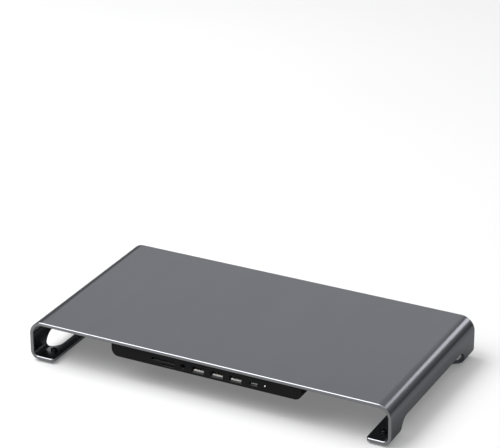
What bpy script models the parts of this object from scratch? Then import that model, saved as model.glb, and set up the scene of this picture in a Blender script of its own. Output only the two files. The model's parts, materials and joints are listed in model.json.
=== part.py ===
"""Monitor riser: a bent aluminium deck on rubber feet, with a docking hub screwed under it.

Metres, +Z up, the front faces -Y. The origin is on the table, under the middle of the deck.
"""

import math

import bmesh
import bpy
from mathutils import Matrix, Vector

GAP = 0.0003                    # clearance between neighbouring pieces
THIN_GAP = 0.00015              # the same, in the low space over the circuit board

# Riser: one plate whose two ends are bent down and then inwards
WIDTH = 0.400
DEPTH = 0.208
PROFILE_HEIGHT = 0.0428         # underside of the flanges to the top of the deck
THICKNESS = 0.0038
TOP_RADIUS = 0.015              # outer radii of the bends
BOTTOM_RADIUS = 0.009
FLANGE_WIDTH = 0.0265           # from the leg's outer face
CORNER_RADIUS = 0.004
EDGE_CHAMFER = 0.0005
TOP_BEND_STEPS = 10
BOTTOM_BEND_STEPS = 8
SLOT_TOP = 0.0172               # above the flange's underside
SLOT_INSET = 0.0158             # the slot's other long edge, from the leg's outer face
SLOT_END = 0.0244               # from the front and rear edges
SLOT_RADIUS = 0.0130            # the slot's corners

# Feet
FOOT_HEIGHT = 0.0022            # underside of the flanges above the table
FOOT_RADIUS = 0.006
FOOT_INSET_X = 0.016            # from the leg's outer face
FOOT_INSET_Y = 0.0190           # from the front and rear edges
FOOT_HOLE_RADIUS = 0.0025
INSERT_FLANGE_RADIUS = 0.004
INSERT_FLANGE_HEIGHT = 0.0005
INSERT_BORE_RADIUS = 0.00145
FOOT_SCREW_RADIUS = 0.00115
FOOT_SCREW_HEAD = (0.0035, 0.0020)
FOOT_SCREW_RECESS = 0.0011      # corner radius of the hexagonal recess

# Levels, from the table up
FLANGE_TOP = FOOT_HEIGHT + THICKNESS
DECK_TOP = FOOT_HEIGHT + PROFILE_HEIGHT
DECK_UNDERSIDE = DECK_TOP - THICKNESS

# Docking hub
DOCK_WIDTH = 0.210
DOCK_DEPTH = 0.090
DOCK_SETBACK = 0.0015           # behind the deck's front edge
DOCK_HEIGHT = 0.0137
DOCK_CORNER_RADIUS = 0.0075
DOCK_EDGE_RADIUS = 0.0006
WALL = 0.0020
FLOOR = 0.0018
COVER_THICKNESS = 0.0012
DOCK_TOP = DECK_UNDERSIDE - GAP
DOCK_BOTTOM = DOCK_TOP - DOCK_HEIGHT
DOCK_FRONT = -DEPTH / 2 + DOCK_SETBACK
DOCK_REAR = DOCK_FRONT + DOCK_DEPTH
COVER_BOTTOM = DOCK_TOP - COVER_THICKNESS

# Screws that hang the hub from studs in the deck
STUD_X = 0.0960
STUD_INSET_Y = 0.0095           # from the hub's front and rear faces
STUD_RADIUS = 0.0030
STUD_LENGTH = 0.0060
STUD_SEAT_DEPTH = 0.0016        # blind hole in the deck's underside
STUD_BORE = (0.0016, 0.0045)
BOSS_RADIUS = 0.0045
COUNTERBORE = (0.0031, 0.0026)
DOCK_SCREW_HEAD = (0.0027, 0.0017)
DOCK_SCREW_RADIUS = 0.0013
DOCK_SCREW_RECESS = 0.0011
DOCK_SCREW_HOLE_RADIUS = 0.0017

# Circuit board
BOARD_WIDTH = 0.182
BOARD_INSET_Y = 0.0028          # from the hub's front and rear faces
BOARD_THICKNESS = 0.0016
BOARD_TOP = COVER_BOTTOM - 0.0017
BOARD_BOTTOM = BOARD_TOP - BOARD_THICKNESS
BOARD_SCREW_X = 0.0840
BOARD_SCREW_INSET_Y = 0.0090
BOARD_BOSS_RADIUS = 0.0026
BOARD_HOLE_RADIUS = 0.0014
BOARD_SCREW_HEAD = (0.0022, 0.0010)
BOARD_SCREW_RADIUS = 0.0010
BOARD_SCREW_LENGTH = 0.0060
BOARD_SCREW_RECESS = 0.0008
CONNECTOR_TOP = BOARD_BOTTOM - GAP

# Connectors: width, height and depth of the metal shells, and the middles of their mouths
SHELL_SETBACK = 0.0006          # mouths behind the hub's front or rear face
SHELL_WALL = 0.0003
USB_A_SHELL = (0.0132, 0.0057, 0.0140)
USB_A_X = (-0.0072, 0.0137, 0.0340)
USB_A_TONGUE = (0.0111, 0.0016, 0.0127)
USB_A_TONGUE_DROP = 0.0012      # tongue's middle below the mouth's
USB_C_SHELL = (0.0090, 0.0032, 0.0078)
USB_C_TONGUE = (0.0067, 0.0007, 0.0067)
USB_C_X = 0.0540
HDMI_SHELL = (0.0150, 0.0056, 0.0118)
HDMI_TONGUE = (0.0110, 0.0012, 0.0078)
HDMI_X = (0.0080, 0.0330)
HOST_USB_C_X = -0.0420
POWER_USB_C_X = -0.0200
PORT_LEVEL = 0.0332

# Card readers, the microSD one on a small board of its own under the SD one
SD_X = -0.0465
SD_SHELL = (0.0280, 0.0030, 0.0260)
SD_SLOT = (0.0255, 0.0025)
MICROSD_X = -0.0407
MICROSD_SHELL = (0.0146, 0.0020, 0.0155)
MICROSD_SLOT = (0.0132, 0.0015)
CARD_BOARD = (0.0320, 0.0008, 0.0330)
BOARD_CONNECTOR = (0.0120, 0.0035)
SD_TRAVEL = 0.0045
MICROSD_TRAVEL = 0.0025
SD_SLIDER = ((0.0016, 0.0018, 0.0085), 0.0060)       # the bar, and how far its arm reaches
MICROSD_SLIDER = ((0.0010, 0.0008, 0.0060), 0.0035)

# Headphone jack and status light
JACK_X = -0.0241
JACK_LEVEL = 0.0337
JACK_BODY = (0.0070, 0.0048, 0.0120)
JACK_NOSE_RADIUS = 0.0024
JACK_BORE_RADIUS = 0.0018
LIGHT_X = 0.0658
LIGHT_LEVEL = 0.0338
LIGHT_RADIUS = 0.0005
LIGHT_LENGTH = 0.0070
LED_SIZE = (0.0016, 0.0010)

# Chips on the board's upper side, cooled through pads to the cover: x, y, edge length
CHIPS = {"hub_chip": (0.0160, -0.0560, 0.0120), "video_chip": (-0.0120, -0.0440, 0.0100)}
CHIP_HEIGHT = 0.0008
PAD_HEIGHT = 0.0004
INDUCTORS = {"power_inductor": (0.0500, -0.0480, 0.0080)}
INDUCTOR_HEIGHT = 0.0035


# ---------------------------------------------------------------- outlines


def arc(centre, radius, start, end, steps):
    """Points of a circular arc; the angles are in degrees."""
    angles = [math.radians(start + (end - start) * i / steps) for i in range(steps + 1)]
    return [(centre[0] + radius * math.cos(a), centre[1] + radius * math.sin(a)) for a in angles]


def circle(centre, radius, steps=20):
    """Points of a full circle."""
    return arc(centre, radius, 0, 360, steps)[:-1]


def rounded_rectangle(width, height, radius, centre=(0, 0), steps=4):
    """A rectangle with round corners; with a radius of half its width it is a stadium."""
    x, y = width / 2 - radius, height / 2 - radius
    corners = ((x, y), (-x, y), (-x, -y), (x, -y))
    points = []
    for i, (cx, cy) in enumerate(corners):
        quarter = arc((centre[0] + cx, centre[1] + cy), radius, 90 * i, 90 * i + 90, steps)
        points += [p for p in quarter if not points or math.dist(p, points[-1]) > 1e-6]
    if math.dist(points[0], points[-1]) < 1e-6:
        points.pop()
    return points


# ---------------------------------------------------------------- solids


def evaluated_copy(obj):
    """A bmesh of an object as its modifiers or curve settings make it."""
    bpy.context.view_layer.update()
    evaluated = obj.evaluated_get(bpy.context.evaluated_depsgraph_get())
    bm = bmesh.new()
    bm.from_mesh(evaluated.to_mesh())
    evaluated.to_mesh_clear()
    bpy.data.objects.remove(obj)
    return bm


def linked_object(name, data):
    """A new object in the scene."""
    obj = bpy.data.objects.new(name, data)
    bpy.context.collection.objects.link(obj)
    return obj


def scratch_object(bm):
    """A short-lived object that holds a bmesh."""
    mesh = bpy.data.meshes.new("scratch")
    bm.to_mesh(mesh)
    bm.free()
    return linked_object("scratch", mesh)


def combined(bm, tool, operation):
    """A Boolean of two solids, which are both used up."""
    target, cutter = scratch_object(bm), scratch_object(tool)
    modifier = target.modifiers.new("combine", "BOOLEAN")
    modifier.operation = operation
    modifier.solver = "EXACT"
    modifier.object = cutter
    result = evaluated_copy(target)
    bpy.data.objects.remove(cutter)
    return result


def joined(*solids):
    """Several solids that don't touch, in one bmesh."""
    everything = bmesh.new()
    for bm in solids:
        mesh = bpy.data.meshes.new("joined")
        bm.to_mesh(mesh)
        bm.free()
        everything.from_mesh(mesh)
        bpy.data.meshes.remove(mesh)
    return everything


def moved(bm, x=0.0, y=0.0, z=0.0):
    """The solid, moved."""
    bmesh.ops.translate(bm, verts=bm.verts, vec=(x, y, z))
    return bm


def block(size, centre, bevel=0.0, steps=1):
    """A box given by its size and its middle, with bevelled edges if wanted."""
    bm = bmesh.new()
    bmesh.ops.create_cube(bm, size=1.0)
    bmesh.ops.scale(bm, verts=bm.verts, vec=size)
    if bevel:
        bmesh.ops.bevel(bm, geom=bm.edges[:], offset=bevel, segments=steps, affect="EDGES", profile=0.5)
    return moved(bm, *centre)


def plate(outline, holes, thickness, chamfer=0.0):
    """A flat plate from z = 0 up, with holes, all its edges chamfered."""
    curve = bpy.data.curves.new("outline", "CURVE")
    curve.dimensions = "2D"
    curve.fill_mode = "BOTH"
    curve.extrude = thickness / 2 - chamfer
    curve.bevel_depth = chamfer
    curve.bevel_resolution = 0
    curve.offset = -chamfer
    for points in (outline, *holes):
        spline = curve.splines.new("POLY")
        spline.points.add(len(points) - 1)
        spline.use_cyclic_u = True
        for point, (x, y) in zip(spline.points, points):
            point.co = (x, y, 0, 1)
    bm = evaluated_copy(linked_object("outline", curve))
    bmesh.ops.remove_doubles(bm, verts=bm.verts, dist=1e-6)
    bmesh.ops.recalc_face_normals(bm, faces=bm.faces)
    return moved(bm, z=thickness / 2)


def prism(outline, length, edge_radius=0.0):
    """An (x, z) outline drawn out along +Y from y = 0, with its two end faces' edges rounded."""
    bm = bmesh.new()
    face = bm.faces.new([bm.verts.new((x, 0, z)) for x, z in outline])
    extruded = bmesh.ops.extrude_face_region(bm, geom=[face])["geom"]
    far_end = [v for v in extruded if isinstance(v, bmesh.types.BMVert)]
    bmesh.ops.translate(bm, verts=far_end, vec=(0, length, 0))
    bmesh.ops.recalc_face_normals(bm, faces=bm.faces)
    if edge_radius:
        rims = [e for e in bm.edges if math.isclose(e.verts[0].co.y, e.verts[1].co.y, abs_tol=1e-7)]
        bmesh.ops.bevel(bm, geom=rims, offset=edge_radius, segments=2, affect="EDGES", profile=0.5)
    return bm


def turned(profile, steps=20):
    """A solid of revolution about Z from (radius, z) points that start and end on the axis."""
    bm = bmesh.new()
    points = [bm.verts.new((r, 0, z)) for r, z in profile]
    edges = [bm.edges.new(pair) for pair in zip(points, points[1:])]
    bmesh.ops.spin(bm, geom=points + edges, cent=(0, 0, 0), axis=(0, 0, 1), angle=2 * math.pi, steps=steps)
    bmesh.ops.remove_doubles(bm, verts=bm.verts, dist=1e-6)
    bmesh.ops.recalc_face_normals(bm, faces=bm.faces)
    return bm


def shaft(radius, bottom, top, centre=(0, 0), steps=20):
    """An upright cylinder."""
    return moved(turned([(0, bottom), (radius, bottom), (radius, top), (0, top)], steps), *centre)


def shell(size, radius=0.0006):
    """A connector's metal shell: a deep cup with its mouth at y = 0, open towards -Y."""
    width, height, depth = size
    bm = bmesh.new()
    rings = []
    for inset, y in ((SHELL_WALL, depth - SHELL_WALL), (SHELL_WALL, 0), (0, 0), (0, depth)):
        points = rounded_rectangle(width - 2 * inset, height - 2 * inset, radius, steps=3)
        verts = [bm.verts.new((x, y, z)) for x, z in points]
        rings.append([bm.edges.new((a, b)) for a, b in zip(verts, verts[1:] + verts[:1])])
    for ring, following in zip(rings, rings[1:]):
        bmesh.ops.bridge_loops(bm, edges=ring + following)
    bmesh.ops.contextual_create(bm, geom=rings[0])
    bmesh.ops.contextual_create(bm, geom=rings[-1])
    bmesh.ops.recalc_face_normals(bm, faces=bm.faces)
    return bm


# ---------------------------------------------------------------- objects


def material(name, colour, roughness, metallic=0.0):
    """A plain Principled material."""
    made = bpy.data.materials.new(name)
    made.use_nodes = True
    shader = made.node_tree.nodes["Principled BSDF"]
    shader.inputs["Base Color"].default_value = (*colour, 1)
    shader.inputs["Roughness"].default_value = roughness
    shader.inputs["Metallic"].default_value = metallic
    return made


def mesh_of(name, bm, finish):
    """A named mesh with its material, smooth on round stretches."""
    mesh = bpy.data.meshes.new(name)
    bm.to_mesh(mesh)
    bm.free()
    mesh.materials.append(finish)
    mesh.shade_smooth()
    mesh.set_sharp_from_angle(angle=math.radians(30))
    return mesh


def place(name, mesh, parent, location=(0, 0, 0), turn=0.0):
    """A named sub-part; turn is its rotation about Z in degrees."""
    obj = linked_object(name, mesh)
    obj.parent = parent
    obj.location = location
    obj.rotation_euler.z = math.radians(turn)
    return obj


def four_corners(x, y, middle=0.0):
    """Corner names and places: front and rear, left and right, about (0, middle)."""
    sides = (("left", -x), ("right", x))
    ends = (("front", middle - y), ("rear", middle + y))
    return [(f"{end}_{side}", corner_x, corner_y) for end, corner_y in ends for side, corner_x in sides]


# ---------------------------------------------------------------- riser


DECK_RUN = WIDTH / 2 - TOP_RADIUS
TOP_BEND_RUN = math.pi / 2 * (TOP_RADIUS - THICKNESS / 2)
WALL_RUN = PROFILE_HEIGHT - TOP_RADIUS - BOTTOM_RADIUS
BOTTOM_BEND_RUN = math.pi / 2 * (BOTTOM_RADIUS - THICKNESS / 2)
FLANGE_RUN = FLANGE_WIDTH - BOTTOM_RADIUS
WALL_START = DECK_RUN + TOP_BEND_RUN
FLANGE_START = WALL_START + WALL_RUN + BOTTOM_BEND_RUN
HALF_BLANK = FLANGE_START + FLANGE_RUN


def bent(along, above):
    """Profile point (x, z) of a blank point: along it from the middle, and above its mid-plane."""
    runs = ((DECK_RUN, 0), (TOP_BEND_RUN, TOP_RADIUS), (WALL_RUN, 0), (BOTTOM_BEND_RUN, BOTTOM_RADIUS),
            (FLANGE_RUN, 0))
    place_now = Vector((0, PROFILE_HEIGHT - THICKNESS / 2))
    heading = 0.0
    left = along
    for length, outer_radius in runs:
        step = left if length == FLANGE_RUN else min(left, length)
        forward = Vector((math.cos(heading), math.sin(heading)))
        outward = Vector((-forward.y, forward.x))
        if outer_radius:
            radius = outer_radius - THICKNESS / 2
            centre = place_now - radius * outward
            heading -= step / radius
            outward = Vector((-math.sin(heading), math.cos(heading)))
            place_now = centre + radius * outward
        else:
            place_now = place_now + step * forward
        left -= step
        if left <= 0:
            break
    return place_now + above * outward


def leg_slot(side):
    """Outline of the slot round the foot of one leg, on the flat blank."""
    start = WALL_START + PROFILE_HEIGHT - TOP_RADIUS - SLOT_TOP
    end = FLANGE_START + SLOT_INSET - BOTTOM_RADIUS
    half_length = DEPTH / 2 - SLOT_END
    middle_y = half_length - SLOT_RADIUS
    lower, upper = (end - SLOT_RADIUS, middle_y), (start + SLOT_RADIUS, middle_y)
    far = arc(lower, SLOT_RADIUS, 0, 90, 11) + arc(upper, SLOT_RADIUS, 90, 180, 11)
    near = [(along, -y) for along, y in reversed(far)]
    return [(side * along, y) for along, y in far + near]


def riser_blank():
    """The flat plate before bending, with the leg slots and the holes for the feet."""
    foot_along = FLANGE_START + FOOT_INSET_X - BOTTOM_RADIUS
    foot_y = DEPTH / 2 - FOOT_INSET_Y
    holes = []
    for side in (-1, 1):
        holes.append(leg_slot(side))
        holes += [circle((side * foot_along, y), FOOT_HOLE_RADIUS) for y in (-foot_y, foot_y)]
    outline = rounded_rectangle(2 * HALF_BLANK, DEPTH, CORNER_RADIUS, steps=5)
    return moved(plate(outline, holes, THICKNESS, EDGE_CHAMFER), z=-THICKNESS / 2)


def riser_solid():
    """The blank, scored across at every step of the bends and bent to shape."""
    bm = riser_blank()
    bends = ((DECK_RUN, TOP_BEND_RUN, TOP_BEND_STEPS),
             (WALL_START + WALL_RUN, BOTTOM_BEND_RUN, BOTTOM_BEND_STEPS))
    scores = [start + run * i / steps for start, run, steps in bends for i in range(steps + 1)]
    for along in [-s for s in scores] + scores:
        everything = bm.verts[:] + bm.edges[:] + bm.faces[:]
        bmesh.ops.bisect_plane(bm, geom=everything, dist=1e-6, plane_co=(along, 0, 0), plane_no=(1, 0, 0))
    bmesh.ops.triangulate(bm, faces=bm.faces)
    for vert in bm.verts:
        side = math.copysign(1, vert.co.x)
        x, z = bent(abs(vert.co.x), vert.co.z)
        vert.co = (side * x, vert.co.y, z + FOOT_HEIGHT)
    seat_top = DECK_UNDERSIDE + STUD_SEAT_DEPTH
    seats = [shaft(STUD_RADIUS + GAP, DECK_UNDERSIDE - STUD_SEAT_DEPTH, seat_top, (x, y))
             for _, x, y in stud_places()]
    return combined(bm, joined(*seats), "DIFFERENCE")


def stud_places():
    """Where the hub's four studs stand under the deck."""
    return four_corners(STUD_X, DOCK_DEPTH / 2 - STUD_INSET_Y, DOCK_FRONT + DOCK_DEPTH / 2)


# ---------------------------------------------------------------- fasteners and feet


def screw(head, radius, length, recess_radius):
    """A pan-head screw with a hexagonal recess, head up, its head's underside at z = 0."""
    head_radius, head_height = head
    crown = head_height * 0.3
    tip = radius * 0.4
    profile = [(0, -length), (radius - tip, -length), (radius, tip - length), (radius, 0), (head_radius, 0),
               (head_radius, head_height - crown), (head_radius - crown, head_height), (0, head_height)]
    recess = shaft(recess_radius, head_height * 0.35, head_height * 1.5, steps=6)
    return combined(turned(profile, 16), recess, "DIFFERENCE")


def foot_pad_solid():
    """A rubber disc with a pocket for the insert's flange."""
    top = FOOT_HEIGHT - GAP
    round_off = 0.0004
    pocket = INSERT_FLANGE_RADIUS + GAP
    pocket_floor = top - INSERT_FLANGE_HEIGHT - GAP
    return turned([(0, 0), (FOOT_RADIUS - round_off, 0), (FOOT_RADIUS, round_off), (FOOT_RADIUS, top),
                   (pocket, top), (pocket, pocket_floor), (0, pocket_floor)], 28)


def foot_insert_solid():
    """A threaded bush with a flange, moulded into the pad; it stands up through the riser's hole."""
    bottom = FOOT_HEIGHT - GAP - INSERT_FLANGE_HEIGHT
    outer = FOOT_HOLE_RADIUS - GAP
    end = FLANGE_TOP - 2 * GAP
    outside = turned([(0, bottom), (INSERT_FLANGE_RADIUS, bottom), (INSERT_FLANGE_RADIUS, FOOT_HEIGHT - GAP),
                      (outer, FOOT_HEIGHT - GAP), (outer, end), (0, end)], 16)
    return combined(outside, shaft(INSERT_BORE_RADIUS, bottom - GAP, end + GAP, steps=16), "DIFFERENCE")


def build_feet(parent, rubber, brass, steel):
    """Four rubber feet, each with its insert and a screw from the top of the flange."""
    pad = mesh_of("foot_pad", foot_pad_solid(), rubber)
    insert = mesh_of("foot_insert", foot_insert_solid(), brass)
    length = FLANGE_TOP - FOOT_HEIGHT + INSERT_FLANGE_HEIGHT
    bolt = mesh_of("foot_screw", screw(FOOT_SCREW_HEAD, FOOT_SCREW_RADIUS, length, FOOT_SCREW_RECESS), steel)
    for corner, x, y in four_corners(WIDTH / 2 - FOOT_INSET_X, DEPTH / 2 - FOOT_INSET_Y):
        place(f"foot_pad_{corner}", pad, parent, (x, y, 0))
        place(f"foot_insert_{corner}", insert, parent, (x, y, 0))
        place(f"foot_screw_{corner}", bolt, parent, (x, y, FLANGE_TOP + GAP))


def build_dock_mounting(parent, steel):
    """Four threaded studs in the deck's underside, and the screws that come up into them."""
    bore_radius, bore_depth = STUD_BORE
    bottom = DECK_UNDERSIDE + STUD_SEAT_DEPTH - GAP - STUD_LENGTH
    stud = combined(shaft(STUD_RADIUS, 0, STUD_LENGTH), shaft(bore_radius, -GAP, bore_depth), "DIFFERENCE")
    stud_mesh = mesh_of("deck_stud", stud, steel)
    head_top = DOCK_BOTTOM + COUNTERBORE[1] - GAP
    length = bottom + bore_depth - GAP - head_top
    bolt = screw(DOCK_SCREW_HEAD, DOCK_SCREW_RADIUS, length, DOCK_SCREW_RECESS)
    bmesh.ops.rotate(bolt, verts=bolt.verts, cent=(0, 0, 0), matrix=Matrix.Rotation(math.pi, 3, "X"))
    bolt_mesh = mesh_of("dock_screw", bolt, steel)
    for corner, x, y in stud_places():
        place(f"deck_stud_{corner}", stud_mesh, parent, (x, y, bottom))
        place(f"dock_screw_{corner}", bolt_mesh, parent, (x, y, head_top))


# ---------------------------------------------------------------- hub casing


def dock_outline(inset, bottom, top):
    """Front view of the hub: square at the top, round at the lower corners."""
    half = DOCK_WIDTH / 2 - inset
    radius = DOCK_CORNER_RADIUS - inset
    left = arc((-half + radius, bottom + radius), radius, 180, 270, 6)
    right = arc((half - radius, bottom + radius), radius, 270, 360, 6)
    return [(-half, top)] + left + right + [(half, top)]


def mouth(size, centre_x, level, radius, rear=False):
    """A cutter for an opening in the hub's front or rear wall."""
    width, height = size
    steps = 5 if radius > height / 4 else 3
    outline = rounded_rectangle(width, height, radius, (centre_x, level), steps)
    start = DOCK_REAR - 2 * WALL if rear else DOCK_FRONT - WALL
    return moved(prism(outline, 3 * WALL), y=start)


def port_mouths():
    """Cutters for every connector that shows in the hub's walls."""
    def around(size, x, rear=False, level=PORT_LEVEL, radius=0.0009):
        return mouth((size[0] + 2 * GAP, size[1] + 2 * GAP), x, level, radius, rear)

    usb_c_radius = USB_C_SHELL[1] / 2 + GAP
    cutters = [around(USB_A_SHELL, x) for x in USB_A_X]
    cutters.append(around(USB_C_SHELL, USB_C_X, radius=usb_c_radius))
    cutters += [around(USB_C_SHELL, x, True, radius=usb_c_radius) for x in (HOST_USB_C_X, POWER_USB_C_X)]
    cutters += [around(HDMI_SHELL, x, True) for x in HDMI_X]
    cutters.append(mouth(SD_SLOT, SD_X, card_level(SD_SHELL), 0.0005))
    cutters.append(mouth(MICROSD_SLOT, MICROSD_X, microsd_level(), 0.0004))
    nose = 2 * (JACK_NOSE_RADIUS + GAP)
    cutters.append(mouth((nose, nose), JACK_X, JACK_LEVEL, nose / 2))
    light = 2 * (LIGHT_RADIUS + GAP)
    cutters.append(mouth((light, light), LIGHT_X, LIGHT_LEVEL, light / 2))
    return cutters


def board_screw_places():
    """Where the circuit board is screwed to the housing."""
    return four_corners(BOARD_SCREW_X, DOCK_DEPTH / 2 - BOARD_SCREW_INSET_Y, DOCK_FRONT + DOCK_DEPTH / 2)


def dock_housing_solid():
    """The hub's lower shell: floor, walls, bosses for both sets of screws, and the port mouths."""
    outside = prism(dock_outline(0, DOCK_BOTTOM, DOCK_TOP), DOCK_DEPTH, DOCK_EDGE_RADIUS)
    floor_top = DOCK_BOTTOM + FLOOR
    cavity = prism(dock_outline(WALL, floor_top, DOCK_TOP + WALL), DOCK_DEPTH - 2 * WALL)
    bm = combined(moved(outside, y=DOCK_FRONT), moved(cavity, y=DOCK_FRONT + WALL), "DIFFERENCE")
    root = DOCK_BOTTOM + FLOOR / 2
    bosses = [shaft(BOSS_RADIUS, root, COVER_BOTTOM - GAP, (x, y)) for _, x, y in stud_places()]
    bosses += [shaft(BOARD_BOSS_RADIUS, root, CONNECTOR_TOP, (x, y), 12) for _, x, y in board_screw_places()]
    bm = combined(bm, joined(*bosses), "UNION")
    stud_bottom = DECK_UNDERSIDE + STUD_SEAT_DEPTH - GAP - STUD_LENGTH
    bore_radius, bore_depth = COUNTERBORE
    drills = []
    for _, x, y in stud_places():
        seat = STUD_RADIUS + GAP
        below, ledge, seat_floor = DOCK_BOTTOM - WALL, DOCK_BOTTOM + bore_depth, stud_bottom - GAP
        profile = [(0, below), (bore_radius, below), (bore_radius, ledge), (DOCK_SCREW_HOLE_RADIUS, ledge),
                   (DOCK_SCREW_HOLE_RADIUS, seat_floor), (seat, seat_floor), (seat, DOCK_TOP), (0, DOCK_TOP)]
        drills.append(moved(turned(profile, 20), x, y))
    for _, x, y in board_screw_places():
        drills.append(shaft(BOARD_HOLE_RADIUS, floor_top + GAP, DOCK_TOP, (x, y), 12))
    bm = combined(bm, joined(*drills), "DIFFERENCE")
    return combined(bm, joined(*port_mouths()), "DIFFERENCE")


def dock_cover_solid():
    """The plate that closes the hub under the deck."""
    width = DOCK_WIDTH - 2 * (WALL + GAP)
    depth = DOCK_DEPTH - 2 * (WALL + GAP)
    middle = DOCK_FRONT + DOCK_DEPTH / 2
    outline = rounded_rectangle(width, depth, 0.0010, (0, middle), 2)
    holes = [circle((x, y), STUD_RADIUS + GAP) for _, x, y in stud_places()]
    return moved(plate(outline, holes, COVER_THICKNESS), z=COVER_BOTTOM)


# ---------------------------------------------------------------- circuit board


def build_board(parent, board_finish, steel, chip_finish, pad_finish, ferrite):
    """The main board with its screws, chips, cooling pads and inductor."""
    middle = DOCK_FRONT + DOCK_DEPTH / 2
    outline = rounded_rectangle(BOARD_WIDTH, DOCK_DEPTH - 2 * BOARD_INSET_Y, 0.0015, (0, middle), 2)
    holes = [circle((x, y), BOARD_HOLE_RADIUS, 12) for _, x, y in board_screw_places()]
    place("main_pcb", mesh_of("main_pcb", plate(outline, holes, BOARD_THICKNESS), board_finish), parent,
          (0, 0, BOARD_BOTTOM))
    head_bottom = BOARD_TOP + THIN_GAP
    bolt = screw(BOARD_SCREW_HEAD, BOARD_SCREW_RADIUS, BOARD_SCREW_LENGTH, BOARD_SCREW_RECESS)
    bolt_mesh = mesh_of("pcb_screw", bolt, steel)
    for corner, x, y in board_screw_places():
        place(f"pcb_screw_{corner}", bolt_mesh, parent, (x, y, head_bottom))
    for name, (x, y, edge) in CHIPS.items():
        chip = block((edge, edge, CHIP_HEIGHT), (0, 0, CHIP_HEIGHT / 2), 0.0001)
        place(name, mesh_of(name, chip, chip_finish), parent, (x, y, BOARD_TOP + THIN_GAP))
        pad = block((edge - 0.001, edge - 0.001, PAD_HEIGHT), (0, 0, PAD_HEIGHT / 2))
        pad_name = name.replace("chip", "thermal_pad")
        place(pad_name, mesh_of(pad_name, pad, pad_finish), parent,
              (x, y, BOARD_TOP + CHIP_HEIGHT + 2 * THIN_GAP))
    for name, (x, y, edge) in INDUCTORS.items():
        body = block((edge, edge, INDUCTOR_HEIGHT), (0, 0, -INDUCTOR_HEIGHT / 2), 0.0006, 2)
        place(name, mesh_of(name, body, ferrite), parent, (x, y, CONNECTOR_TOP))


# ---------------------------------------------------------------- connectors


def mouth_place(x, rear=False, level=PORT_LEVEL):
    """Where a connector's mouth is, and its turn about Z."""
    y = DOCK_REAR - SHELL_SETBACK if rear else DOCK_FRONT + SHELL_SETBACK
    return (x, y, level), 180 if rear else 0


def tongue_solid(size, shell_depth, drop=0.0):
    """The plastic contact tongue inside a shell, fixed at its back."""
    width, height, length = size
    end = shell_depth - SHELL_WALL - THIN_GAP
    return block((width, length, height), (0, end - length / 2, -drop), height * 0.12)


def standoff(size, level=PORT_LEVEL):
    """A plastic saddle between a low connector and the board above it."""
    width, height, depth = size
    top = CONNECTOR_TOP - level
    bottom = height / 2 - SHELL_WALL / 2
    return block((width * 0.7, depth * 0.6, top - bottom), (0, depth * 0.6, (top + bottom) / 2))


def build_usb(parent, shell_finish, tongue_finish):
    """Three USB-A ports and a USB-C port in front, two USB-C ports at the rear."""
    usb_a = mesh_of("usb_a_port", shell(USB_A_SHELL), shell_finish)
    usb_a_tongue = tongue_solid(USB_A_TONGUE, USB_A_SHELL[2], USB_A_TONGUE_DROP)
    tongue = mesh_of("usb_a_tongue", usb_a_tongue, tongue_finish)
    for number, x in enumerate(USB_A_X, 1):
        location, turn = mouth_place(x)
        place(f"usb_a_port_{number}", usb_a, parent, location, turn)
        place(f"usb_a_tongue_{number}", tongue, parent, location, turn)
    usb_c_shell = shell(USB_C_SHELL, USB_C_SHELL[1] / 2 - 0.0004)
    usb_c = mesh_of("usb_c_port", combined(usb_c_shell, standoff(USB_C_SHELL), "UNION"), shell_finish)
    usb_c_tongue = mesh_of("usb_c_tongue", tongue_solid(USB_C_TONGUE, USB_C_SHELL[2]), tongue_finish)
    for name, x, rear in (("usb_c", USB_C_X, False), ("host_usb_c", HOST_USB_C_X, True),
                          ("power_usb_c", POWER_USB_C_X, True)):
        location, turn = mouth_place(x, rear)
        place(f"{name}_port", usb_c, parent, location, turn)
        place(f"{name}_tongue", usb_c_tongue, parent, location, turn)


def build_hdmi(parent, shell_finish, tongue_finish):
    """Two video outputs at the rear."""
    port = mesh_of("hdmi_port", shell(HDMI_SHELL), shell_finish)
    tongue = mesh_of("hdmi_tongue", tongue_solid(HDMI_TONGUE, HDMI_SHELL[2]), tongue_finish)
    for number, x in enumerate(HDMI_X, 1):
        location, turn = mouth_place(x, True)
        place(f"hdmi_port_{number}", port, parent, location, turn)
        place(f"hdmi_tongue_{number}", tongue, parent, location, turn)


def card_level(size):
    """Height of the middle of a card socket that hangs from the main board."""
    return CONNECTOR_TOP - size[1] / 2


def card_board_top():
    """Upper face of the small board under the SD socket."""
    return CONNECTOR_TOP - SD_SHELL[1] - GAP


def microsd_level():
    """Height of the middle of the microSD socket."""
    return card_board_top() - CARD_BOARD[1] - GAP - MICROSD_SHELL[1] / 2


def slider_solid(bar, arm_width):
    """A push-push slider: a bar along the socket's side with an arm behind the card."""
    width, height, length = bar
    arm_depth = width
    outline = [(0, 0), (width, 0), (width, length), (-arm_width, length), (-arm_width, length - arm_depth),
               (0, length - arm_depth)]
    return moved(plate(outline, (), height), z=-height / 2)


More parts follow.
